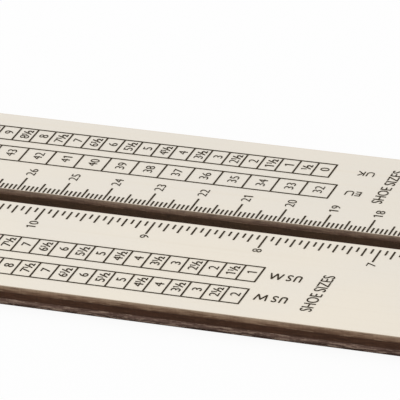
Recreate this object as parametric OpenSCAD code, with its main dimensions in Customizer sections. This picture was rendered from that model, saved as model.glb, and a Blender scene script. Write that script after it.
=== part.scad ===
/* [Board] */
// Length from the toe tip to the cuff end, in millimetres
board_length = 325; // [310:1:360]
// Width of the half behind the slot, which carries the UK and EU rows
far_half_width = 34.6; // [31:0.1:45]
// Width of the half in front of the slot, which carries the two US rows
near_half_width = 36.3; // [33:0.1:48]
// Radius of the two corners at the toe end
toe_corner_radius = 30; // [10:1:31]
// Radius of the two corners at the cuff end
cuff_corner_radius = 8; // [2:0.5:25]

/* [Slot] */
// Width of the long slot
slot_width = 5.6; // [4.5:0.1:9]
// Wood left between the toe tip and the slot
toe_land = 15; // [8:0.5:25]
// Wood left between the slot and the cuff end
cuff_land = 12; // [8:0.5:20]

/* [Layers] */
// Thickness of the back veneer, grain along the board
back_veneer_thickness = 1.45; // [0.8:0.05:2.5]
// Thickness of the core veneer, grain across the board
core_veneer_thickness = 1.5; // [0.8:0.1:2.5]
// Thickness of the face veneer, grain along the board
face_veneer_thickness = 1.3; // [0.8:0.1:2.5]
// Thickness of the white facing on the face veneer
facing_thickness = 0.2; // [0.1:0.05:0.6]
// Height of the printed marks above the facing
print_height = 0.1; // [0.02:0.01:0.2]

/* [Scales] */
// Width of every tick
tick_width = 0.38; // [0.15:0.01:0.6]
// Bare strip between the far edge of the slot and the centimetre ticks
cm_tick_gap = 0.2; // [0:0.05:1]
// Length of a millimetre tick
mm_tick_length = 2.1; // [1.5:0.1:3.5]
// Length of a half centimetre tick
half_cm_tick_length = 3.85; // [3.6:0.05:5]
// Length of a whole centimetre tick
cm_tick_length = 5.6; // [5.2:0.1:7]
// Bare strip between the near edge of the slot and the inch ticks
inch_tick_gap = 1.35; // [0:0.05:2]
// Length of a tick at an odd sixteenth of an inch
sixteenth_tick_length = 1.9; // [1:0.1:3]
// Length of a tick at an eighth, a quarter or a half inch
eighth_tick_length = 3.35; // [3.2:0.05:5]
// Length of a whole inch tick
inch_tick_length = 5.4; // [5.2:0.1:7]
// How much nearer to the toe the inch ticks stand than the same length in centimetres
inch_scale_shift = 3.4; // [0:0.1:6]

/* [Shoe size rows] */
// Width of the two long lines of a row
row_line_width = 0.28; // [0.15:0.01:0.4]
// Width of the short lines between the cells
cell_line_width = 0.35; // [0.15:0.01:0.5]
// Bare length between the last cell that fits and the cuff end
row_end_margin = 22; // [16:0.5:40]
// How large the cells of the UK row are printed, where 1 is their true step
uk_row_scale = 0.975; // [0.95:0.005:1.05]
// How large the cells of the EU row are printed, where 1 is their true step
eu_row_scale = 0.98; // [0.95:0.005:1.05]
// Distance from the toe tip to the UK row
uk_row_start = 196.4; // [185:0.1:215]
// Distance from the far edge of the slot to the UK row
uk_row_gap = 22.4; // [21:0.1:27]
// Width of the UK row
uk_row_width = 6.45; // [4:0.05:10]
// Distance from the toe tip to the EU row
eu_row_start = 193.3; // [185:0.1:215]
// Distance from the far edge of the slot to the EU row
eu_row_gap = 12.9; // [11:0.1:15]
// Width of the EU row
eu_row_width = 6.8; // [4:0.1:9]
// Distance from the toe tip to both US rows, whose sizes stand in line
us_rows_start = 195.3; // [185:0.1:215]
// Distance from the near edge of the slot to the US men row
us_men_row_gap = 14.7; // [12:0.05:17]
// Width of the US men row
us_men_row_width = 6.85; // [4:0.05:9]
// Distance from the near edge of the slot to the US women row
us_women_row_gap = 24.55; // [22.5:0.05:28]
// Width of the US women row
us_women_row_width = 6.9; // [4:0.1:11]

/* [Hidden] */
$fn = 96;

// Units of the scales and of the shoe sizes
mm_per_inch = 25.4;
mm_per_cm = 10;
sixteenths = 16;
barleycorn = mm_per_inch / 3;
half_size_pitch = barleycorn / 2;
paris_point = 20 / 3;

// The board lies centred on X and Y, with its toe tip at the +X end and its back on Z 0
board_width = far_half_width + slot_width + near_half_width;
half_length = board_length / 2;
half_width = board_width / 2;
slot_far_y = half_width - far_half_width;
slot_near_y = slot_far_y - slot_width;

// Heights of the layers' lower faces
core_z = back_veneer_thickness;
face_z = core_z + core_veneer_thickness;
facing_z = face_z + face_veneer_thickness;
print_z = facing_z + facing_thickness;

// Distances from the toe tip to the centres of the slot's round ends
slot_radius = slot_width / 2;
slot_first = toe_land + slot_radius;
slot_last = board_length - cuff_land - slot_radius;

// The whole centimetres and inches that lie beside the straight part of the slot
first_mm = ceil(slot_first / mm_per_cm) * mm_per_cm;
last_mm = floor(slot_last / mm_per_cm) * mm_per_cm;
first_sixteenth = ceil((slot_first + inch_scale_shift) / mm_per_inch) * sixteenths;
last_sixteenth = floor((slot_last + inch_scale_shift) / mm_per_inch) * sixteenths;

// Place along X of a point at a distance from the toe tip
function along(distance) = half_length - distance;

// How many whole cells fit between a row's start and the bare cuff end
function cell_count(row_start, pitch) = floor((board_length - row_end_margin - row_start) / pitch);

// Lengths of the ticks at a millimetre, and at a sixteenth of an inch
function mm_tick(mm) = mm % mm_per_cm == 0 ? cm_tick_length
    : mm % (mm_per_cm / 2) == 0 ? half_cm_tick_length : mm_tick_length;
function sixteenth_tick(n) = n % sixteenths == 0 ? inch_tick_length
    : n % 2 == 0 ? eighth_tick_length : sixteenth_tick_length;

// One end of the board with its two round corners; side is 1 at the toe and -1 at the cuff
module board_end(side, radius) {
    for (edge = [-1, 1])
        translate([side * (half_length - radius), edge * (half_width - radius)])
            circle(r = radius);
    translate([side * (half_length - radius / 2), 0])
        square([radius, board_width - 2 * radius], center = true);
}

// The outline of the board without its slot
module board_blank() {
    translate([-half_length + cuff_corner_radius, -half_width])
        square([board_length - cuff_corner_radius - toe_corner_radius, board_width]);
    board_end(1, toe_corner_radius);
    board_end(-1, cuff_corner_radius);
}

// The slot, with a half round at each end
module slot_outline() {
    translate([along(slot_last), slot_near_y])
        square([slot_last - slot_first, slot_width]);
    for (distance = [slot_first, slot_last])
        translate([along(distance), slot_near_y + slot_radius])
            circle(r = slot_radius);
}

// One layer of the board, cut to the outline and the slot
module layer(bottom, thickness) {
    translate([0, 0, bottom])
        linear_extrude(thickness)
            difference() {
                board_blank();
                slot_outline();
            }
}

// One printed tick, centred on its distance from the toe tip, with its lower end at y
module tick(distance, y, length) {
    translate([along(distance) - tick_width / 2, y, print_z])
        cube([tick_width, length, print_height]);
}

// The printed frame and cell lines of one shoe size row, with its lower line at y
module size_row(row_start, y, width, pitch) {
    cells = cell_count(row_start, pitch);
    translate([along(row_start + cells * pitch) - cell_line_width / 2, y, print_z])
        linear_extrude(print_height)
            difference() {
                square([cells * pitch + cell_line_width, width]);
                for (cell = [0 : cells - 1])
                    translate([cell * pitch + cell_line_width, row_line_width])
                        square([pitch - cell_line_width, width - 2 * row_line_width]);
            }
}

// Bottom layer of the plywood, which rests on the table
module back_veneer() {
    color("#8A6B50") layer(0, back_veneer_thickness);
}

// Middle layer of the plywood, with its grain turned a quarter
module core_veneer() {
    color("#5A4030") layer(core_z, core_veneer_thickness);
}

// Top layer of the plywood, which carries the white facing
module face_veneer() {
    color("#9C8064") layer(face_z, face_veneer_thickness);
}

// Cream white skin on the top of the board
module white_facing() {
    color("#EBE4D5") layer(facing_z, facing_thickness);
}

// Millimetre, half centimetre and centimetre ticks, which stand just behind the far edge of the slot
module centimetre_scale() {
    color("#3B3326")
        for (mm = [first_mm : last_mm])
            tick(mm, slot_far_y + cm_tick_gap, mm_tick(mm));
}

// Sixteenth, eighth and inch ticks, which hang a little in front of the near edge of the slot
module inch_scale() {
    color("#3B3326")
        for (n = [first_sixteenth : last_sixteenth])
            tick(
                n * mm_per_inch / sixteenths - inch_scale_shift,
                slot_near_y - inch_tick_gap - sixteenth_tick(n),
                sixteenth_tick(n)
            );
}

// Half sizes of the UK, the outer row behind the slot
module uk_size_row() {
    color("#4C4438")
        size_row(uk_row_start, slot_far_y + uk_row_gap, uk_row_width,
            half_size_pitch * uk_row_scale);
}

// Whole sizes of the EU, the inner row behind the slot
module eu_size_row() {
    color("#4C4438")
        size_row(eu_row_start, slot_far_y + eu_row_gap, eu_row_width,
            paris_point * eu_row_scale);
}

// Half sizes for men in the US, the inner row in front of the slot
module us_men_size_row() {
    color("#4C4438")
        size_row(us_rows_start, slot_near_y - us_men_row_gap - us_men_row_width,
            us_men_row_width, half_size_pitch);
}

// Half sizes for women in the US, the outer row in front of the slot
module us_women_size_row() {
    color("#4C4438")
        size_row(us_rows_start, slot_near_y - us_women_row_gap - us_women_row_width,
            us_women_row_width, half_size_pitch);
}

back_veneer();
core_veneer();
face_veneer();
white_facing();
centimetre_scale();
inch_scale();
uk_size_row();
eu_size_row();
us_men_size_row();
us_women_size_row();
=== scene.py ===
"""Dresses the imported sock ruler: its plywood, lacquer and print finishes, the printed numbers and
words, the charred cut edges, and the floor, light and camera of the photograph."""

import logging
import math
from dataclasses import dataclass, field, replace
from enum import Enum

import bmesh
import bpy
from mathutils import Matrix, Vector


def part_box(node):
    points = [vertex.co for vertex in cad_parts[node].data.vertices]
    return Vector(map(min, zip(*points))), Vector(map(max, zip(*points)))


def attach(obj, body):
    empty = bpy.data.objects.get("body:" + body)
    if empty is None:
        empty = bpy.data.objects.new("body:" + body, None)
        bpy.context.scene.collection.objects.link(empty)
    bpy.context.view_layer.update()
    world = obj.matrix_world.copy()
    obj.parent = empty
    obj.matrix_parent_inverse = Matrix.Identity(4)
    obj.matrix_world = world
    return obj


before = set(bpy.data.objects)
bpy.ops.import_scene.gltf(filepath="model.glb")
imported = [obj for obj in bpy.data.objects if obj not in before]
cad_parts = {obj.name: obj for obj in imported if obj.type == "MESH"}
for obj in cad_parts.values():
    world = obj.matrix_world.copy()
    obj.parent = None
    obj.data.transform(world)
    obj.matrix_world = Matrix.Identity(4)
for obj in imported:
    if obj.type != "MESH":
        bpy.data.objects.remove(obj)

Socket = bpy.types.NodeSocket
Corners = tuple[tuple[float, float], ...]

MM = 0.001
UP = (0, 0, 1)
BODY = "root"
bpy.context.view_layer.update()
TOE_CORNER = 30 * MM
CUFF_CORNER = 8 * MM
TOE_LAND = 15 * MM
CUFF_LAND = 12 * MM
CM_TICK_GAP = 0.2 * MM
INCH_TICK_GAP = 1.35 * MM
CELL_LINE = 0.35 * MM
LEVEL_NORMAL = 0.5
NOISE_MIDDLE = 0.5
SCREEN_WHITE = 255
CURVE_START = 0.04045
CURVE_SLOPE = 12.92
CURVE_SHIFT = 0.055
CURVE_POWER = 2.4
log = logging.getLogger("sock_ruler")


class Reading(Enum):
    """Which way a printed string runs on the board, and which way its letters stand."""

    ACROSS = ((0, 1, 0), (-1, 0, 0))
    TURNED = ((-1, 0, 0), (0, -1, 0))


class Anchor(Enum):
    """Which point of a string stands at its place."""

    START = 0.0
    MIDDLE = 0.5
    END = 1.0


class GrainRun(Enum):
    """Which way a veneer's fibres run: how much finer its grain is along each axis."""

    ALONG = (1.0, 14.0, 6.0)
    ACROSS = (14.0, 1.0, 6.0)


@dataclass(frozen=True)
class Tone:
    """A colour as a screen shows it, each part from 0 to 255."""

    red: int
    green: int
    blue: int

    def linear(self) -> tuple[float, float, float, float]:
        """The colour as a shader takes it, by the usual curve of screens.

        Returns:
            Red, green, blue and a full alpha.
        """
        parts = [part / SCREEN_WHITE for part in (self.red, self.green, self.blue)]
        curved = [
            part / CURVE_SLOPE if part <= CURVE_START
            else ((part + CURVE_SHIFT) / (1 + CURVE_SHIFT)) ** CURVE_POWER for part in parts
        ]
        return (*curved, 1.0)


@dataclass(frozen=True)
class Pattern:
    """A smooth random pattern, and how something shows where it is strong.

    It has per_metre features along each axis, with finer layers as detail says, distorted by bend.
    What it lets through begins at the level start and reaches its full share at the level end.
    """

    per_metre: tuple[float, float, float]
    start: float = 0.0
    end: float = 1.0
    share: float = 1.0
    detail: float = 3.0
    bend: float = 0.0

    def along(self, run: GrainRun) -> "Pattern":
        """The pattern drawn out along a veneer's fibres."""
        return replace(self, per_metre=tuple(a * b for a, b in zip(self.per_metre, run.value)))


@dataclass(frozen=True)
class Board:
    """The board's leading places in the part's frame, in metres."""

    toe_x: float
    cuff_x: float
    front_y: float
    back_y: float
    slot_near_y: float
    slot_far_y: float
    face_z: float
    print_z: float

    @classmethod
    def from_frame(cls) -> "Board":
        """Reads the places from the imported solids.

        Returns:
            The board as the CAD model has it.
        """
        low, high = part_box("white_facing")
        ticks_low, ticks_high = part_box("centimetre_scale")
        return cls(
            toe_x=high.x,
            cuff_x=low.x,
            front_y=low.y,
            back_y=high.y,
            slot_near_y=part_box("inch_scale")[1].y + INCH_TICK_GAP,
            slot_far_y=ticks_low.y - CM_TICK_GAP,
            face_z=high.z,
            print_z=ticks_high.z,
        )

    def along(self, millimetres: float) -> float:
        """The place along X of a distance from the toe tip, given in millimetres."""
        return self.toe_x - millimetres * MM


def placed(name: str, data: bpy.types.ID) -> bpy.types.Object:
    """Puts new data into the scene, at the origin.

    Args:
        name: The object's name.
        data: A mesh, a curve, a lamp or a camera.

    Returns:
        The new object.
    """
    thing = bpy.data.objects.new(name, data)
    bpy.context.scene.collection.objects.link(thing)
    return thing


def settled(thing: bpy.types.Object) -> bpy.types.Mesh:
    """The plain mesh that an object's letters or modifiers give."""
    evaluated = thing.evaluated_get(bpy.context.evaluated_depsgraph_get())
    return bpy.data.meshes.new_from_object(evaluated)


def blank_material(name: str) -> bpy.types.Material:
    """Makes a material that has no nodes yet.

    Args:
        name: The material's name.

    Returns:
        The material.
    """
    material = bpy.data.materials.new(name)
    material.use_nodes = True
    material.node_tree.nodes.clear()
    return material


def wear(piece: bpy.types.Object, material: bpy.types.Material) -> None:
    """Gives an object one material and logs it.

    Args:
        piece: The object.
        material: What it wears.
    """
    for slot in piece.material_slots:
        slot.material = material
    if not piece.material_slots:
        piece.data.materials.append(material)
    log.info("%s wears %s", piece.name, material.name)


class NodeGraph:
    """Adds nodes to one tree and joins them."""

    def __init__(self, tree: bpy.types.NodeTree) -> None:
        """Takes the tree that the nodes go into."""
        self.tree = tree

    def feed(self, target: Socket, value: object) -> None:
        """Gives a socket a link or a plain value.

        Args:
            target: The socket to fill.
            value: Another socket, a tone, a number or a vector.
        """
        if isinstance(value, Socket):
            self.tree.links.new(value, target)
        else:
            target.default_value = value.linear() if isinstance(value, Tone) else value

    def add(
        self, kind: str, inputs: dict[str | int, object] | None = None, **settings: object,
    ) -> bpy.types.Node:
        """Adds a node.

        Args:
            kind: The node's type.
            inputs: Sockets or values, by the input's name or number.
            settings: Properties of the node.

        Returns:
            The node.
        """
        node = self.tree.nodes.new(kind)
        for name, value in settings.items():
            setattr(node, name, value)
        for key, value in (inputs or {}).items():
            self.feed(node.inputs[key], value)
        return node

    def math(self, operation: str, *values: object, clamp: bool = False) -> Socket:
        """One step of arithmetic with numbers, whose result may be held between 0 and 1."""
        inputs = dict(enumerate(values))
        return self.add("ShaderNodeMath", inputs, operation=operation, use_clamp=clamp).outputs[0]

    def vector(self, operation: str, *values: object) -> Socket:
        """One step of arithmetic with vectors, whose result is a vector."""
        inputs = dict(enumerate(values))
        return self.add("ShaderNodeVectorMath", inputs, operation=operation).outputs["Vector"]

    def axis(self, letter: str, source: Socket) -> Socket:
        """One coordinate, X, Y or Z, of a vector."""
        return self.add("ShaderNodeSeparateXYZ", {0: source}).outputs[letter]

    def hypotenuse(self, run: Socket, rise: Socket) -> Socket:
        """The length of a flat vector, from its two coordinates."""
        squares = [self.math("POWER", part, 2.0) for part in (run, rise)]
        return self.math("SQRT", self.math("ADD", *squares))


class ShaderTree(NodeGraph):
    """Builds one material's nodes round a Principled shader."""

    def __init__(self, name: str, roughness: float, specular: float) -> None:
        """Starts a material.

        Args:
            name: The material's name.
            roughness: The shader's own roughness.
            specular: The shader's own specular level.
        """
        self.material = blank_material(name)
        super().__init__(self.material.node_tree)
        self.shader = self.add(
            "ShaderNodeBsdfPrincipled", {"Roughness": roughness, "Specular IOR Level": specular},
        )
        self.add("ShaderNodeOutputMaterial", {"Surface": self.shader.outputs["BSDF"]})
        coordinates = self.add("ShaderNodeTexCoord")
        self.place = coordinates.outputs["Object"]
        self.normal = coordinates.outputs["Normal"]

    def fade(
        self, value: object, start: float, end: float, low: float = 0.0, high: float = 1.0,
    ) -> Socket:
        """A smooth step.

        Args:
            value: What is stepped.
            start: Where the result is low.
            end: Where the result is high.
            low: The result at the start.
            high: The result at the end.

        Returns:
            The result's socket.
        """
        return self.add("ShaderNodeMapRange", {
            "Value": value, "From Min": start, "From Max": end, "To Min": low, "To Max": high,
        }, interpolation_type="SMOOTHSTEP").outputs["Result"]

    def noise(self, pattern: Pattern) -> Socket:
        """The level of a random pattern, from 0 to 1.

        Args:
            pattern: The pattern.

        Returns:
            The level's socket.
        """
        mapped = self.add("ShaderNodeMapping", {"Vector": self.place, "Scale": pattern.per_metre})
        return self.add("ShaderNodeTexNoise", {
            "Vector": mapped.outputs["Vector"], "Scale": 1.0,
            "Detail": pattern.detail, "Distortion": pattern.bend,
        }).outputs["Fac"]

    def ramp(self, value: Socket, stops: tuple[tuple[float, Tone], ...]) -> Socket:
        """Tones along a value.

        Args:
            value: The value, from 0 to 1.
            stops: Each stop's place and tone.

        Returns:
            The colour's socket.
        """
        node = self.add("ShaderNodeValToRGB", {"Fac": value})
        elements = node.color_ramp.elements
        for position, _ in stops[len(elements):]:
            elements.new(position)
        for element, (position, tone) in zip(elements, stops):
            element.position = position
            element.color = tone.linear()
        return node.outputs["Color"]

    def blend(self, share: object, first: object, second: object, mode: str = "MIX") -> Socket:
        """A mix of two colours, where the share is how much of the second shows."""
        inputs = {0: share, 6: first, 7: second}
        return self.add("ShaderNodeMix", inputs, data_type="RGBA", blend_type=mode).outputs[2]

    def stain(self, tone: object, pattern: Pattern, second: Tone) -> Socket:
        """A colour that lets a second tone show where a pattern is strong."""
        shown = self.fade(self.noise(pattern), pattern.start, pattern.end, 0.0, pattern.share)
        return self.blend(shown, tone, second)

    def flatness(self) -> Socket:
        """1 on the flat faces of the board and 0 on its cut edges."""
        level = self.math("ABSOLUTE", self.axis("Z", self.normal))
        return self.math("GREATER_THAN", level, LEVEL_NORMAL)

    def outer_distance(self, board: Board) -> Socket:
        """How far a point lies inside the board's outline, in metres.

        Args:
            board: The board's places.

        Returns:
            The distance's socket, positive inside.
        """
        reach = {"X": (board.toe_x - board.cuff_x) / 2, "Y": (board.back_y - board.front_y) / 2}
        middle = (0.0, (board.front_y + board.back_y) / 2, 0.0)
        centred = self.vector("SUBTRACT", self.place, middle)
        toe_side = self.math("GREATER_THAN", self.axis("X", centred), 0.0)
        radius = self.math("MULTIPLY_ADD", toe_side, TOE_CORNER - CUFF_CORNER, CUFF_CORNER)
        spread = self.vector("ABSOLUTE", centred)
        over = [self.math("ADD", self.math("SUBTRACT", self.axis(letter, spread), half), radius)
                for letter, half in reach.items()]
        corner = self.hypotenuse(*(self.math("MAXIMUM", part, 0.0) for part in over))
        side = self.math("MINIMUM", self.math("MAXIMUM", *over), 0.0)
        return self.math("SUBTRACT", radius, self.math("ADD", corner, side))

    def slot_distance(self, board: Board) -> Socket:
        """How far a point lies from the slot's wall, in metres.

        Args:
            board: The board's places.

        Returns:
            The distance's socket, positive in the wood.
        """
        radius = (board.slot_far_y - board.slot_near_y) / 2
        first, last = board.cuff_x + CUFF_LAND + radius, board.toe_x - TOE_LAND - radius
        x = self.axis("X", self.place)
        held = self.math("MINIMUM", self.math("MAXIMUM", x, first), last)
        run = self.math("SUBTRACT", x, held)
        rise = self.math("SUBTRACT", self.axis("Y", self.place), board.slot_near_y + radius)
        return self.math("SUBTRACT", self.hypotenuse(run, rise), radius)

    def finished(
        self, tone: object, pattern: Pattern, depth: float, strength: float = 1.0,
    ) -> bpy.types.Material:
        """Sets the base colour and lets a pattern raise the surface.

        Args:
            tone: The base colour.
            pattern: The pattern.
            depth: Its full height, in metres.
            strength: How much of it shows.

        Returns:
            The finished material.
        """
        bump = self.add("ShaderNodeBump", {
            "Height": self.noise(pattern), "Distance": depth, "Strength": strength,
        })
        self.feed(self.shader.inputs["Base Color"], tone)
        self.feed(self.shader.inputs["Normal"], bump.outputs["Normal"])
        return self.material


@dataclass(frozen=True)
class LacquerFinish:
    """Cream white satin lacquer, browned by smoke along every cut."""

    roughness: float = 0.46
    specular: float = 0.4
    face: Tone = Tone(230, 221, 205)
    cloud: Tone = Tone(226, 219, 207)
    clouds: Pattern = Pattern((28, 40, 10), 0.35, 0.7, detail=2)
    far: Tone = Tone(220, 213, 201)
    far_shares: tuple[float, float] = (0.1, 0.8)
    streak: Tone = Tone(220, 209, 191)
    streaks: Pattern = Pattern((9, 520, 10), 0.5, 0.8, 0.35, detail=4, bend=0.3)
    smoke: Tone = Tone(196, 172, 142)
    smoke_share: float = 0.3
    smoke_start: float = 0.15 * MM
    smoke_reach: float = 0.6 * MM
    smoke_wander: float = 0.4 * MM
    smoke_edge: Pattern = Pattern((420, 420, 10))
    scorched_side: Tone = Tone(168, 146, 124)
    pits: Pattern = Pattern((1400, 1800, 300), detail=2)
    pit_depth: float = 0.006 * MM

    def build(self, board: Board) -> bpy.types.Material:
        """Makes the material.

        Args:
            board: The board's places, along which the smoke lies.

        Returns:
            The finished material.
        """
        tree = ShaderTree("cream_lacquer", self.roughness, self.specular)
        tone = tree.stain(self.face, self.clouds, self.cloud)
        # The face turns slightly darker and greyer from the front edge toward the back edge.
        backward_share = tree.fade(tree.axis("Y", tree.place), board.front_y, board.back_y, *self.far_shares)
        tone = tree.blend(backward_share, tone, self.far)
        tone = tree.stain(tone, self.streaks, self.streak)
        nearest = tree.math("MINIMUM", tree.outer_distance(board), tree.slot_distance(board))
        ragged = tree.math("MULTIPLY_ADD", tree.noise(self.smoke_edge), self.smoke_wander, nearest)
        smoked = tree.fade(ragged, self.smoke_start, self.smoke_reach, self.smoke_share, 0.0)
        tone = tree.blend(smoked, tone, self.smoke)
        tone = tree.blend(tree.flatness(), self.scorched_side, tone)
        return tree.finished(tone, self.pits, self.pit_depth)


@dataclass(frozen=True)
class VeneerFinish:
    """One veneer: raw wood on its flat face, scorched fibres on its cut edge.

    The scorch's tones lie along the veneer's height. A tone added to the slot's wall is painted
    light, a painted sheen and skylight: in full at the veneer's top, down to the share given for
    its lower face.
    """

    name: str
    run: GrainRun
    scorch: tuple[tuple[float, Tone], ...]
    dark: Tone
    pale: Tone
    fleck_share: float
    bloom: Tone = Tone(0, 0, 0)
    bloom_low: float = 1.0
    wall_reach: tuple[float, float] = (0.5 * MM, 1.0 * MM)
    roughness: float = 0.82
    specular: float = 0.1
    drift: Pattern = Pattern((55, 55, 300))
    drift_reach: float = 0.8
    patches: Pattern = Pattern((120, 120, 900), 0.45, 0.68, 0.45, detail=2)
    fibres: Pattern = Pattern((300, 300, 5200), 0.5, 0.62, 0.6, detail=3, bend=0.2)
    flecks: Pattern = Pattern((380, 380, 3800), 0.5, 0.62, detail=2)
    pulses: Pattern = Pattern((2600, 2600, 120), 0.4, 0.7, 0.2, detail=1)
    raw: Tone = Tone(201, 171, 130)
    raw_dark: Tone = Tone(171, 136, 94)
    raw_pore: Tone = Tone(139, 104, 68)
    figure: Pattern = Pattern((6, 6, 1), 0.3, 0.7, detail=3, bend=1.2)
    fine_grain: Pattern = Pattern((40, 40, 1), 0.45, 0.75, 0.6, detail=5)
    pores: Pattern = Pattern((90, 170, 1), 0.66, 0.74, 0.8, detail=2)
    rough: Pattern = Pattern((900, 900, 2600), detail=4)
    rough_depth: float = 0.05 * MM
    rough_strength: float = 0.7

    def build(self, node: str, board: Board) -> bpy.types.Material:
        """Makes the material.

        Args:
            node: The CAD node that wears it, whose height the scorching follows.
            board: The board's places, for the slot's wall.

        Returns:
            The finished material.
        """
        low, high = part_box(node)
        tree = ShaderTree(self.name, self.roughness, self.specular)
        above = tree.math("SUBTRACT", tree.axis("Z", tree.place), low.z)
        rise = tree.math("DIVIDE", above, high.z - low.z)
        # Painted light: a neutral tone added to the cut edge near the slot's wall, strongest at the
        # veneer's top, stands in for sheen and skylight.
        inner = tree.fade(tree.slot_distance(board), *self.wall_reach, 1.0, 0.0)
        share = tree.math("MULTIPLY_ADD", rise, 1.0 - self.bloom_low, self.bloom_low)
        painted_wall_light_share = tree.math("MULTIPLY", inner, share, clamp=True)
        cut = tree.blend(painted_wall_light_share, self.edge(tree, rise), self.bloom, "ADD")
        tone = tree.blend(tree.flatness(), cut, self.flat(tree))
        return tree.finished(tone, self.rough, self.rough_depth, self.rough_strength)

    def edge(self, tree: ShaderTree, rise: Socket) -> Socket:
        """The colour of the cut edge.

        Args:
            tree: The material that is built.
            rise: How high a point lies in the veneer, from 0 to 1.

        Returns:
            The colour's socket.
        """
        drift = tree.math("SUBTRACT", tree.noise(self.drift), NOISE_MIDDLE)
        tone = tree.ramp(tree.math("MULTIPLY_ADD", drift, self.drift_reach, rise), self.scorch)
        tone = tree.stain(tone, self.patches, self.dark)
        tone = tree.stain(tone, self.fibres, self.dark)
        tone = tree.stain(tone, replace(self.flecks, share=self.fleck_share), self.pale)
        return tree.stain(tone, self.pulses, self.dark)

    def flat(self, tree: ShaderTree) -> Socket:
        """The colour of the raw flat face, with its grain.

        Args:
            tree: The material that is built.

        Returns:
            The colour's socket.
        """
        tone = tree.stain(self.raw, self.figure.along(self.run), self.raw_dark)
        tone = tree.stain(tone, self.fine_grain.along(self.run), self.raw_dark)
        return tree.stain(tone, self.pores.along(self.run), self.raw_pore)


@dataclass(frozen=True)
class PrintFinish:
    """Matt dark brown print, thinner in places."""

    roughness: float = 0.8
    specular: float = 0.12
    full: Tone = Tone(52, 42, 26)
    thin: Tone = Tone(74, 62, 44)
    worn: Pattern = Pattern((1500, 1500, 400), 0.45, 0.8, detail=4)
    tooth: Pattern = Pattern((5000, 5000, 900), detail=2)
    tooth_depth: float = 0.01 * MM

    def build(self) -> bpy.types.Material:
        """Makes the material.

        Returns:
            The finished material.
        """
        tree = ShaderTree("dark_brown_print", self.roughness, self.specular)
        tone = tree.stain(self.full, self.worn, self.thin)
        return tree.finished(tone, self.tooth, self.tooth_depth)


@dataclass(frozen=True)
class CharFinish:
    """Burnt wood: black brown, with ash and unburnt fibres."""

    name: str
    burnt: Tone
    ash: Tone
    fibre: Tone
    roughness: float = 0.9
    specular: float = 0.2
    stops: tuple[float, float, float] = (0.3, 0.5, 0.68)
    patches: Pattern = Pattern((900, 900, 2500), detail=2)
    crumbs: Pattern = Pattern((4200, 4200, 4200), detail=2)
    crumb_depth: float = 0.03 * MM

    def build(self) -> bpy.types.Material:
        """Makes the material.

        Returns:
            The finished material.
        """
        tree = ShaderTree(self.name, self.roughness, self.specular)
        tones = tuple(zip(self.stops, (self.burnt, self.ash, self.fibre)))
        tone = tree.ramp(tree.noise(self.patches), tones)
        return tree.finished(tone, self.crumbs, self.crumb_depth)


def merged_copy(node: str, weld: float = 0.001 * MM) -> bpy.types.Mesh:
    """A copy of a CAD node's mesh with its loose triangles joined.

    Args:
        node: The CAD node's name.
        weld: How near two corners lie that become one.

    Returns:
        The joined copy.
    """
    shape = bmesh.new()
    shape.from_mesh(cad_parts[node].data)
    bmesh.ops.remove_doubles(shape, verts=shape.verts, dist=weld)
    mesh = bpy.data.meshes.new(f"{node}_joined")
    shape.to_mesh(mesh)
    shape.free()
    return mesh


class GeometryTree(NodeGraph):
    """Builds one Geometry Nodes tree with named inputs and turns its result into a plain mesh."""

    kinds = {
        int: "NodeSocketInt",
        float: "NodeSocketFloat",
        bpy.types.Material: "NodeSocketMaterial",
    }

    def __init__(self, name: str, values: dict[str, object]) -> None:
        """Starts a tree that takes a mesh and gives a mesh.

        Args:
            name: The tree's name.
            values: What its other inputs are called and the value of each.
        """
        super().__init__(bpy.data.node_groups.new(name, "GeometryNodeTree"))
        self.name = name
        self.values = values
        sockets = self.tree.interface
        for side in ("INPUT", "OUTPUT"):
            sockets.new_socket(name="Geometry", in_out=side, socket_type="NodeSocketGeometry")
        for label, value in values.items():
            sockets.new_socket(name=label, in_out="INPUT", socket_type=self.kinds[type(value)])
        self.given = self.add("NodeGroupInput").outputs

    def compare(self, operation: str, first: object, second: object) -> Socket:
        """A comparison of two numbers, as a yes or no."""
        settings = {"data_type": "FLOAT", "operation": operation}
        return self.add("FunctionNodeCompare", {0: first, 1: second}, **settings).outputs[0]

    def height(self) -> Socket:
        """How high a point lies."""
        return self.axis("Z", self.add("GeometryNodeInputPosition").outputs["Position"])

    def bake(self, node: str, geometry: Socket) -> bpy.types.Object:
        """Ends the tree with real instances that wear the material, and runs it on a node's mesh.

        Args:
            node: The CAD node.
            geometry: What the tree has made.

        Returns:
            The piece, as a plain mesh at the origin.
        """
        real = self.add("GeometryNodeRealizeInstances", {"Geometry": geometry})
        dressed = self.add("GeometryNodeSetMaterial", {
            "Geometry": real.outputs["Geometry"], "Material": self.given["Material"],
        })
        self.add("NodeGroupOutput", {"Geometry": dressed.outputs["Geometry"]})
        piece = placed(self.name, merged_copy(node))
        modifier = piece.modifiers.new(self.name, "NODES")
        modifier.node_group = self.tree
        for item in self.tree.interface.items_tree:
            if item.item_type == "SOCKET" and item.in_out == "INPUT" and item.name in self.values:
                modifier[item.identifier] = self.values[item.name]
        result = settled(piece)
        piece.modifiers.remove(modifier)
        result.name = self.name
        piece.data = result
        result.materials.clear()
        result.materials.append(self.values["Material"])
        return piece


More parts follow.
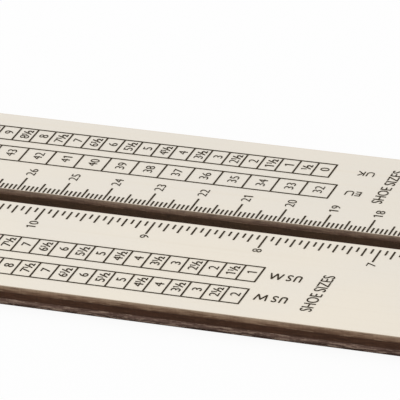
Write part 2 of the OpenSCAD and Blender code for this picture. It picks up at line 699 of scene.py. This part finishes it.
@dataclass
class CharFlecks:
    """Splinters and ash that stand out of a cut edge.

    Each is a small ball, one unit wide, that is drawn out to the length, thickness and proud.
    """

    node: str
    name: str
    finish: CharFinish
    density: float
    seed: int
    length: float = 0.75 * MM
    thickness: float = 0.09 * MM
    proud: float = 0.05 * MM
    clear: float = 0.09 * MM
    smallest: float = 0.35
    largest: float = 1.3

    def build(self) -> bpy.types.Object:
        """Strews the flecks over the node's cut edge.

        Returns:
            The piece.
        """
        nodes = GeometryTree(self.name, {
            "Density": self.density, "Length": self.length, "Thickness": self.thickness,
            "Proud": self.proud, "Clear": self.clear, "Seed": self.seed,
            "Material": self.finish.build(),
        })
        given = nodes.given
        normal = nodes.add("GeometryNodeInputNormal").outputs["Normal"]
        level = nodes.math("ABSOLUTE", nodes.axis("Z", normal))
        steep = nodes.compare("LESS_THAN", level, LEVEL_NORMAL)
        spots = nodes.add("GeometryNodeDistributePointsOnFaces", {
            "Mesh": given["Geometry"], "Selection": steep,
            "Density": given["Density"], "Seed": given["Seed"],
        })
        kept = nodes.add("GeometryNodeSeparateGeometry", {
            "Geometry": spots.outputs["Points"],
            "Selection": nodes.compare("GREATER_THAN", nodes.height(), given["Clear"]),
        }, domain="POINT")
        outward = spots.outputs["Normal"]
        standing = nodes.add("FunctionNodeAlignRotationToVector", {"Vector": outward}, axis="Z")
        lying = nodes.add("FunctionNodeAlignRotationToVector", {
            "Rotation": standing.outputs["Rotation"],
            "Vector": nodes.vector("CROSS_PRODUCT", UP, outward),
        }, axis="X", pivot_axis="Z")
        shape = nodes.add("ShaderNodeCombineXYZ", {
            "X": given["Length"], "Y": given["Thickness"], "Z": given["Proud"],
        })
        lump = nodes.add("GeometryNodeMeshIcoSphere", {"Radius": 0.5, "Subdivisions": 1})
        shaped = nodes.add("GeometryNodeTransform", {
            "Geometry": lump.outputs["Mesh"], "Scale": shape.outputs["Vector"],
        })
        spread = nodes.add("FunctionNodeRandomValue", {
            2: self.smallest, 3: self.largest, "Seed": given["Seed"],
        }, data_type="FLOAT")
        strewn = nodes.add("GeometryNodeInstanceOnPoints", {
            "Points": kept.outputs["Selection"],
            "Instance": shaped.outputs["Geometry"],
            "Rotation": lying.outputs["Rotation"],
            "Scale": spread.outputs[1],
        })
        return nodes.bake(self.node, strewn.outputs["Instances"])


@dataclass
class RimBead:
    """A thin dark bead that follows one rim of a veneer, round the outline and the slot."""

    node: str
    name: str
    finish: CharFinish
    height: float
    radius: float
    sides: int = 6
    sharp_angle: float = 1.0
    height_play: float = 0.01 * MM

    def build(self) -> bpy.types.Object:
        """Sweeps the bead.

        Returns:
            The piece.
        """
        nodes = GeometryTree(self.name, {
            "Height": self.height, "Radius": self.radius, "Sides": self.sides,
            "Material": self.finish.build(),
        })
        given = nodes.given
        angle = nodes.add("GeometryNodeInputMeshEdgeAngle").outputs["Unsigned Angle"]
        away = nodes.math("ABSOLUTE", nodes.math("SUBTRACT", nodes.height(), given["Height"]))
        rim = nodes.add("FunctionNodeBooleanMath", {
            0: nodes.compare("GREATER_THAN", angle, self.sharp_angle),
            1: nodes.compare("LESS_THAN", away, self.height_play),
        }, operation="AND")
        path = nodes.add("GeometryNodeMeshToCurve", {
            "Mesh": given["Geometry"], "Selection": rim.outputs[0],
        })
        ring = nodes.add("GeometryNodeCurvePrimitiveCircle", {
            "Resolution": given["Sides"], "Radius": given["Radius"],
        })
        swept = nodes.add("GeometryNodeCurveToMesh", {
            "Curve": path.outputs["Curve"], "Profile Curve": ring.outputs["Curve"],
        })
        up = nodes.add("ShaderNodeCombineXYZ", {"Z": given["Radius"]})
        lifted = nodes.add("GeometryNodeTransform", {
            "Geometry": swept.outputs["Mesh"], "Translation": up.outputs["Vector"],
        })
        return nodes.bake(self.node, lifted.outputs["Geometry"])


@dataclass
class TypeCase:
    """The printed letters: the built-in type, and outlines of its own for some letters and figures.

    All measures are in ems. A row's name is set from single letters: U, a squeezed S, and M or W.
    """

    digit_step: float = 0.5
    cap_height: float = 0.682
    curve_steps: int = 4
    flagged_one: Corners = (
        (0.215, 0.0), (0.303, 0.0), (0.303, 0.682), (0.23, 0.682), (0.075, 0.582), (0.118, 0.51),
        (0.215, 0.573),
    )
    half_digit: float = 0.58
    half_weight: float = 0.03
    half_one_at: tuple[float, float] = (-0.05, 0.29)
    half_two_at: tuple[float, float] = (0.39, -0.005)
    half_bar: Corners = ((0.11, 0.0), (0.2, 0.0), (0.5, 0.682), (0.41, 0.682))
    narrow_u: Corners = (
        (0.0, 0.682), (0.0, 0.17), (0.03, 0.07), (0.1, 0.01), (0.21, -0.01), (0.32, 0.01),
        (0.39, 0.07), (0.42, 0.17), (0.42, 0.682), (0.33, 0.682), (0.33, 0.18), (0.305, 0.11),
        (0.21, 0.08), (0.115, 0.11), (0.09, 0.18), (0.09, 0.682),
    )
    splayed_m: Corners = (
        (0.008, 0.0), (0.098, 0.0), (0.203, 0.476), (0.371, 0.0), (0.455, 0.0), (0.6, 0.475),
        (0.763, 0.0), (0.852, 0.0), (0.645, 0.682), (0.555, 0.682), (0.414, 0.166),
        (0.248, 0.682), (0.158, 0.682),
    )
    steep_w: Corners = (
        (0.115, 0.0), (0.205, 0.0), (0.4, 0.451), (0.605, 0.0), (0.7, 0.0), (0.795, 0.682),
        (0.705, 0.682), (0.641, 0.166), (0.44, 0.6), (0.36, 0.6), (0.184, 0.172),
        (0.12, 0.682), (0.03, 0.682),
    )
    s_width: float = 0.32
    name_places: tuple[float, ...] = (0.0, 0.57, 1.115)
    cache: dict[tuple[str, float], bpy.types.Mesh] = field(default_factory=dict)

    def outline(self, text: str, weight: float) -> bpy.types.Mesh:
        """The flat mesh of a word or a figure, one em high.

        Args:
            text: What is printed.
            weight: How much fatter than the type its strokes are.

        Returns:
            The mesh, lying on X and Y.
        """
        if (text, weight) not in self.cache:
            own = {
                "1": self.flagged_one, "U": self.narrow_u, "M": self.splayed_m, "W": self.steep_w,
            }
            if text in own:
                mesh = self.cut(own[text])
            elif text == "½":
                mesh = self.half()
            else:
                mesh = self.typeset(text, weight)
            if text == "S":
                self.squeeze(mesh)
            self.cache[text, weight] = mesh
        return self.cache[text, weight]

    def cut(self, corners: Corners) -> bpy.types.Mesh:
        """Makes a flat shape.

        Args:
            corners: Its corners, in order.

        Returns:
            The mesh.
        """
        mesh = bpy.data.meshes.new("shape")
        mesh.from_pydata([(x, y, 0.0) for x, y in corners], [], [tuple(range(len(corners)))])
        return mesh

    def squeeze(self, mesh: bpy.types.Mesh) -> None:
        """Makes a letter as narrow as the rows' names have it, from its left edge on.

        Args:
            mesh: The letter.
        """
        left = min(vertex.co.x for vertex in mesh.vertices)
        right = max(vertex.co.x for vertex in mesh.vertices)
        for vertex in mesh.vertices:
            vertex.co.x = (vertex.co.x - left) * self.s_width / (right - left)

    def half(self) -> bpy.types.Mesh:
        """Makes the sign for a half: a small one, a bar and a small two.

        Returns:
            The mesh.
        """
        sheet = bmesh.new()
        for figure, (across, up) in (("1", self.half_one_at), ("2", self.half_two_at)):
            start = len(sheet.verts)
            sheet.from_mesh(self.outline(figure, self.half_weight))
            sheet.verts.ensure_lookup_table()
            for vertex in sheet.verts[start:]:
                vertex.co = vertex.co * self.half_digit + Vector((across, up, 0.0))
        sheet.from_mesh(self.cut(self.half_bar))
        mesh = bpy.data.meshes.new("half")
        sheet.to_mesh(mesh)
        sheet.free()
        return mesh

    def typeset(self, text: str, weight: float) -> bpy.types.Mesh:
        """Sets a text in the built-in type and turns it into a mesh.

        Args:
            text: What is printed.
            weight: How much fatter than the type its strokes are.

        Returns:
            The flat mesh.
        """
        curve = bpy.data.curves.new("type", "FONT")
        curve.body = text
        curve.offset = weight
        curve.resolution_u = self.curve_steps
        holder = placed("type", curve)
        mesh = settled(holder)
        bpy.data.objects.remove(holder)
        return mesh

    def glyphs(self, text: str, weight: float) -> list[tuple[bpy.types.Mesh, float]]:
        """The glyphs of a string with the place of each.

        Args:
            text: A number such as 12 or 5½, a row's name or another word.
            weight: How much fatter than the type its strokes are.

        Returns:
            Each glyph's mesh and its shift along the line.
        """
        signs, places = (text,), (0.0,)
        if text[0].isnumeric():
            signs, places = text, (n * self.digit_step for n in range(len(text)))
        elif text.startswith("US "):
            signs, places = text.replace(" ", ""), self.name_places
        return [(self.outline(sign, weight), place) for sign, place in zip(signs, places)]


@dataclass(frozen=True)
class Lettering:
    """One printed string: what it says, where it stands and how large it is."""

    text: str
    x: float
    y: float
    height: float
    reading: Reading
    anchor: Anchor = Anchor.MIDDLE
    stretch: float = 1.0
    length: float = 0.0
    weight: float = 0.0


@dataclass
class PrintedPiece:
    """All the strings of one part of the print, as one thin raised mesh."""

    name: str
    board: Board
    case: TypeCase
    strings: list[Lettering]
    weld: float = 0.0005 * MM

    def build(self, material: bpy.types.Material) -> bpy.types.Object:
        """Prints the strings on the facing.

        Args:
            material: What the print wears.

        Returns:
            The piece, at the origin.
        """
        sheet = bmesh.new()
        for string in self.strings:
            self.press(sheet, string)
        bmesh.ops.remove_doubles(sheet, verts=sheet.verts, dist=self.weld)
        raised = bmesh.ops.extrude_face_region(sheet, geom=list(sheet.faces))
        lifted = [item for item in raised["geom"] if isinstance(item, bmesh.types.BMVert)]
        bmesh.ops.translate(sheet, verts=lifted, vec=(0, 0, self.board.print_z - self.board.face_z))
        bmesh.ops.recalc_face_normals(sheet, faces=sheet.faces)
        mesh = bpy.data.meshes.new(self.name)
        sheet.to_mesh(mesh)
        sheet.free()
        mesh.materials.append(material)
        return placed(self.name, mesh)

    def press(self, sheet: bmesh.types.BMesh, string: Lettering) -> None:
        """Adds one string's flat outlines to the sheet.

        Args:
            sheet: The mesh that collects the print.
            string: What is printed, and where.
        """
        glyphs = self.case.glyphs(string.text, string.weight)
        places = [v.co.x + shift for mesh, shift in glyphs for v in mesh.vertices]
        left, right = min(places), max(places)
        rise = string.height / self.case.cap_height
        run = string.length / (right - left) if string.length else rise * string.stretch
        forward, up = (Vector(axis) for axis in string.reading.value)
        origin = Vector((string.x, string.y, self.board.face_z))
        for mesh, shift in glyphs:
            start = len(sheet.verts)
            sheet.from_mesh(mesh)
            sheet.verts.ensure_lookup_table()
            for vertex in sheet.verts[start:]:
                line = (vertex.co.x + shift - left - string.anchor.value * (right - left)) * run
                climb = (vertex.co.y - self.case.cap_height / 2) * rise
                vertex.co = origin + forward * line + up * climb


@dataclass(frozen=True)
class ScaleNumbers:
    """The numbers of one scale, each beyond the end of its tick.

    The unit, the scale's own shift toward the toe and the numbers' further shift are in
    millimetres.
    """

    node: str
    unit: float
    gap: float
    anchor: Anchor
    scale_shift: float = 0.0
    number_shift: float = 0.0
    height: float = 2.05 * MM
    stretch: float = 1.12
    weight: float = -0.013

    def strings(self, board: Board) -> list[Lettering]:
        """One string for each whole unit that has a tick.

        Args:
            board: The board's places.

        Returns:
            The strings, from the toe to the cuff.
        """
        low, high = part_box(self.node)
        ends = ((board.toe_x - x) / MM + self.scale_shift for x in (high.x, low.x))
        first, last = (round(end / self.unit) for end in ends)
        y = high.y + self.gap if self.anchor is Anchor.START else low.y - self.gap
        back = self.scale_shift + self.number_shift
        return [
            Lettering(str(n), board.along(self.unit * n - back), y, self.height, Reading.ACROSS,
                      self.anchor, self.stretch, weight=self.weight)
            for n in range(first, last + 1)
        ]


@dataclass(frozen=True)
class SizeRowNumbers:
    """The numbers in the cells of one shoe size row."""

    node: str
    first: int
    cells: int
    halves: bool
    height: float = 2.1 * MM
    stretch: float = 1.1
    weight: float = -0.013
    toward_toe: float = 0.15 * MM
    toward_back: float = 0.35 * MM

    def says(self, cell: int) -> str:
        """What a cell says, such as 4, 4½ or ½.

        Args:
            cell: The cell's place in the row, counted from 0 at the toe.

        Returns:
            The text.
        """
        if not self.halves:
            return str(self.first + cell)
        whole = self.first + cell // 2
        half = "½" if cell % 2 else ""
        return half if half and whole == 0 else f"{whole}{half}"

    def strings(self) -> list[Lettering]:
        """One string for each cell of the row.

        Returns:
            The strings, from the toe to the cuff.
        """
        low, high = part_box(self.node)
        pitch = (high.x - low.x - CELL_LINE) / self.cells
        start = high.x - CELL_LINE / 2 + self.toward_toe
        middle = (low.y + high.y) / 2 + self.toward_back
        return [
            Lettering(self.says(cell), start - (cell + 0.5) * pitch, middle, self.height,
                      Reading.ACROSS, stretch=self.stretch, weight=self.weight)
            for cell in range(self.cells)
        ]


@dataclass(frozen=True)
class Word:
    """A printed word, with its middle and its size in millimetres.

    Its middle lies from_toe from the toe tip, and behind the middle of the row that it names, or
    behind the slot's far edge where it names none.
    """

    text: str
    row: str
    from_toe: float
    behind: float
    height: float
    length: float
    weight: float

    def lettering(self, board: Board, reading: Reading) -> Lettering:
        """The word at its place on the board.

        Args:
            board: The board's places.
            reading: Which way the word runs.

        Returns:
            The string.
        """
        start = sum(corner.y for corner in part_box(self.row)) / 2 if self.row else board.slot_far_y
        x, y = board.along(self.from_toe), start + self.behind * MM
        return Lettering(self.text, x, y, self.height * MM, reading,
                         length=self.length * MM, weight=self.weight)


@dataclass
class Plywood:
    """The three veneers with the scorching of their cut edges."""

    # The back veneer's cut edge darkens steeply toward its lower face.
    back: VeneerFinish = VeneerFinish(
        "back_veneer_wood", GrainRun.ALONG,
        scorch=((0.0, Tone(44, 32, 27)), (0.17, Tone(53, 40, 34)), (0.3, Tone(74, 57, 50)),
                (0.43, Tone(102, 81, 72)), (0.65, Tone(113, 90, 80)), (1.0, Tone(100, 77, 66))),
        dark=Tone(64, 46, 38), pale=Tone(172, 148, 131), fleck_share=0.58,
    )
    # The core and face veneers add a painted sheen and skylight to the slot's wall, the face
    # veneer's stronger toward its top.
    core: VeneerFinish = VeneerFinish(
        "core_veneer_wood", GrainRun.ACROSS,
        scorch=((0.0, Tone(73, 49, 37)), (0.5, Tone(69, 45, 32)), (1.0, Tone(74, 49, 35))),
        dark=Tone(54, 36, 26), pale=Tone(88, 63, 47), fleck_share=0.4, bloom=Tone(38, 38, 29),
    )
    face: VeneerFinish = VeneerFinish(
        "face_veneer_wood", GrainRun.ALONG,
        scorch=((0.0, Tone(88, 63, 48)), (0.35, Tone(114, 88, 70)), (0.7, Tone(142, 116, 95)),
                (1.0, Tone(160, 138, 116))),
        dark=Tone(84, 61, 47), pale=Tone(156, 132, 108), fleck_share=0.45,
        bloom=Tone(52, 54, 56), bloom_low=0.2,
    )
    char: CharFinish = CharFinish("char", Tone(54, 39, 31), Tone(66, 49, 40), Tone(84, 64, 52))
    splinter: CharFinish = CharFinish(
        "splinters", Tone(84, 66, 58), Tone(112, 91, 80), Tone(152, 130, 112),
    )
    rim_radius: float = 0.07 * MM
    glue_radius: float = 0.03 * MM
    splinter_density: float = 1.6e6
    splinter_seed: int = 7
    ash_density: float = 0.5e6
    ash_seed: int = 11

    def dress(self, board: Board) -> None:
        """Gives each veneer its wood.

        Args:
            board: The board's places.
        """
        finishes = {"back_veneer": self.back, "core_veneer": self.core, "face_veneer": self.face}
        for node, finish in finishes.items():
            wear(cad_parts[node], finish.build(node, board))

    def details(self) -> list[tuple[bpy.types.Object, str]]:
        """The dark bead at the lower rim, the glue lines and the splinters.

        Returns:
            Each piece with its material slot.
        """
        back, core = "back_veneer", "core_veneer"
        low, high = (corner.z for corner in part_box(core))
        makers = (
            # A thin dark bead along the back veneer's lower rim.
            RimBead(back, "dark_lower_rim", self.char, 0.0, self.rim_radius),
            RimBead(core, "lower_glue_line", self.char, low, self.glue_radius),
            RimBead(core, "upper_glue_line", self.char, high, self.glue_radius),
            CharFlecks(back, "back_edge_splinters", self.splinter, self.splinter_density,
                       self.splinter_seed),
            CharFlecks(core, "core_edge_splinters", self.char, self.ash_density, self.ash_seed),
        )
        slots = {back: "back_wood", core: "core_wood"}
        return [(maker.build(), slots[maker.node]) for maker in makers]


@dataclass
class Studio:
    """The pale floor, the soft light and the photograph's camera.

    Angles are in degrees, the aim is in millimetres and the lengths of the lens too.
    """

    board: Board
    azimuth: float = 22.19
    elevation: float = 26.78
    roll: float = 3.49
    distance: float = 1.018
    focal_pixels: float = 4737.5
    frame_pixels: float = 400.0
    sensor: float = 36.0
    aim_from_toe: float = 219.6
    aim_behind_slot: float = 5.45
    world_light: float = 0.78
    lamp_power: float = 9.0
    lamp_size: tuple[float, float] = (1.6, 1.2)
    lamp_place: tuple[float, float, float] = (-0.7, 0.5, 1.3)
    floor_tone: Tone = Tone(238, 238, 238)
    floor_reach: float = 3.0
    floor_z: float = -0.02 * MM
    shadow_share: float = 0.1

    def build(self) -> None:
        """Sets up the floor, the light and the camera."""
        self.floor()
        self.world()
        self.lamp()
        self.camera()
        bpy.context.scene.view_settings.view_transform = "Standard"

    def floor(self) -> None:
        """The floor, white to the camera outside the ruler's shadow."""
        mesh = bpy.data.meshes.new("floor")
        square = ((-1, -1), (1, -1), (1, 1), (-1, 1))
        corners = [(x * self.floor_reach, y * self.floor_reach, self.floor_z) for x, y in square]
        mesh.from_pydata(corners, [], [(0, 1, 2, 3)])
        floor = placed("floor", mesh)
        material = blank_material("floor")
        nodes = NodeGraph(material.node_tree)
        matt = nodes.add("ShaderNodeBsdfDiffuse", {"Color": self.floor_tone})
        white = nodes.add("ShaderNodeEmission", {"Strength": 1.0})
        share = self.seen_directly(nodes, 0.0, 1.0 - self.shadow_share)
        both = nodes.add("ShaderNodeMixShader", {
            "Fac": share, 1: matt.outputs[0], 2: white.outputs[0],
        })
        nodes.add("ShaderNodeOutputMaterial", {"Surface": both.outputs[0]})
        mesh.materials.append(material)

    def seen_directly(self, nodes: NodeGraph, otherwise: float, seen: float) -> Socket:
        """One number for what the camera and reflections see, and another for all other light.

        Args:
            nodes: The material's or the world's nodes.
            otherwise: The number for the light that falls on the board.
            seen: The number for the camera and for reflections.

        Returns:
            The number's socket.
        """
        rays = nodes.add("ShaderNodeLightPath").outputs
        direct = nodes.math("MAXIMUM", rays["Is Camera Ray"], rays["Is Glossy Ray"])
        return nodes.math("MULTIPLY_ADD", direct, seen - otherwise, otherwise)

    def world(self) -> None:
        """An even white surround, pure white where the camera sees it."""
        world = bpy.data.worlds.new("surround")
        world.use_nodes = True
        bpy.context.scene.world = world
        nodes = NodeGraph(world.node_tree)
        background = nodes.tree.nodes["Background"].inputs
        nodes.feed(background["Color"], (1, 1, 1, 1))
        nodes.feed(background["Strength"], self.seen_directly(nodes, self.world_light, 1.0))

    def lamp(self) -> None:
        """One large soft lamp, high behind the board's left end."""
        light = bpy.data.lights.new("soft_lamp", "AREA")
        light.shape = "RECTANGLE"
        light.size, light.size_y = self.lamp_size
        light.energy = self.lamp_power
        lamp = placed("soft_lamp", light)
        lamp.location = self.lamp_place
        lamp.rotation_euler = (-Vector(self.lamp_place)).to_track_quat("-Z", "Y").to_euler()

    def camera(self) -> None:
        """The camera, at the photograph's angle and framing."""
        angles = (-self.azimuth, self.elevation, self.roll)
        azimuth, elevation, roll = (math.radians(angle) for angle in angles)
        forward = Vector((
            math.sin(azimuth) * math.cos(elevation),
            math.cos(azimuth) * math.cos(elevation),
            -math.sin(elevation),
        ))
        level_right = Vector((math.cos(azimuth), -math.sin(azimuth), 0))
        level_down = forward.cross(level_right)
        right = level_right * math.cos(roll) + level_down * math.sin(roll)
        down = level_down * math.cos(roll) - level_right * math.sin(roll)
        aim = Vector((
            self.board.along(self.aim_from_toe),
            self.board.slot_far_y + self.aim_behind_slot * MM,
            self.board.face_z,
        ))
        lens = bpy.data.cameras.new("camera")
        lens.sensor_width = self.sensor
        lens.lens = self.focal_pixels * self.sensor / self.frame_pixels
        camera = placed("camera", lens)
        turn = Matrix((right, -down, -forward)).transposed().to_4x4()
        camera.matrix_world = Matrix.Translation(aim - forward * self.distance) @ turn
        bpy.context.scene.camera = camera


@dataclass
class SockRuler:
    """The whole ruler: plywood, facing and print."""

    board: Board
    plywood: Plywood = field(default_factory=Plywood)
    case: TypeCase = field(default_factory=TypeCase)
    row_names: tuple[Word, ...] = (
        Word("UK", "uk_size_row", 188.95, 0.45, 2.0, 3.85, -0.012),
        Word("EU", "eu_size_row", 188.6, 0.25, 2.0, 3.5, -0.012),
        Word("US M", "us_men_size_row", 189.69, 0.1, 2.5, 7.2, 0.0),
        Word("US W", "us_women_size_row", 189.48, 0.5, 2.5, 7.08, 0.0),
    )
    headings: tuple[Word, ...] = (
        Word("SHOE SIZES", "", 182.4, 21.3, 2.4, 15.6, -0.006),
        Word("SHOE SIZES", "", 180.9, -28.45, 2.6, 15.8, -0.006),
    )
    centimetres: ScaleNumbers = ScaleNumbers("centimetre_scale", 10, 1.46 * MM, Anchor.START)
    inches: ScaleNumbers = ScaleNumbers("inch_scale", 25.4, 0.54 * MM, Anchor.END, 3.4, 0.17)
    uk_sizes: SizeRowNumbers = SizeRowNumbers("uk_size_row", 0, 25, True)
    eu_sizes: SizeRowNumbers = SizeRowNumbers("eu_size_row", 32, 16, False, toward_back=0.25 * MM)
    us_men_sizes: SizeRowNumbers = SizeRowNumbers(
        "us_men_size_row", 1, 25, True, weight=-0.005, toward_back=0.5 * MM)
    us_women_sizes: SizeRowNumbers = SizeRowNumbers(
        "us_women_size_row", 2, 25, True, weight=-0.005, toward_back=0.5 * MM)

    def dress(self) -> None:
        """Gives every CAD node its finish and adds the printed words, the glue lines, the splinters
        and a dark bead along the lower rim.
        """
        self.plywood.dress(self.board)
        wear(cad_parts["white_facing"], LacquerFinish().build(self.board))
        ink = PrintFinish().build()
        rows = (self.uk_sizes, self.eu_sizes, self.us_men_sizes, self.us_women_sizes)
        for marks in (self.centimetres, self.inches, *rows):
            wear(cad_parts[marks.node], ink)
        for name, strings in self.print_sheets().items():
            self.mount(PrintedPiece(name, self.board, self.case, strings).build(ink), "dark_print")
        for piece, slot in self.plywood.details():
            self.mount(piece, slot)

    def print_sheets(self) -> dict[str, list[Lettering]]:
        """What each printed piece says.

        Returns:
            Every printed piece's strings, by the piece's name.
        """
        names = [word.lettering(self.board, Reading.TURNED) for word in self.row_names]
        headings = [word.lettering(self.board, Reading.ACROSS) for word in self.headings]
        return {
            "centimetre_numbers": self.centimetres.strings(self.board),
            "inch_numbers": self.inches.strings(self.board),
            "uk_size_numbers": self.uk_sizes.strings(),
            "eu_size_numbers": self.eu_sizes.strings(),
            "us_men_size_numbers": self.us_men_sizes.strings(),
            "us_women_size_numbers": self.us_women_sizes.strings(),
            "row_labels": names,
            "shoe_size_headings": headings,
        }

    def mount(self, piece: bpy.types.Object, slot: str) -> None:
        """Fixes a piece to the board and logs it.

        Args:
            piece: The finished piece.
            slot: The record's material slot for the piece's finish. Not used.
        """
        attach(piece, BODY)
        log.info("%s: %d faces", piece.name, len(piece.data.polygons))


def main() -> None:
    """Builds the looks."""
    logging.basicConfig(level=logging.INFO, format="%(name)s: %(message)s")
    board = Board.from_frame()
    SockRuler(board).dress()
    Studio(board).build()


if __name__ == "__main__":
    main()
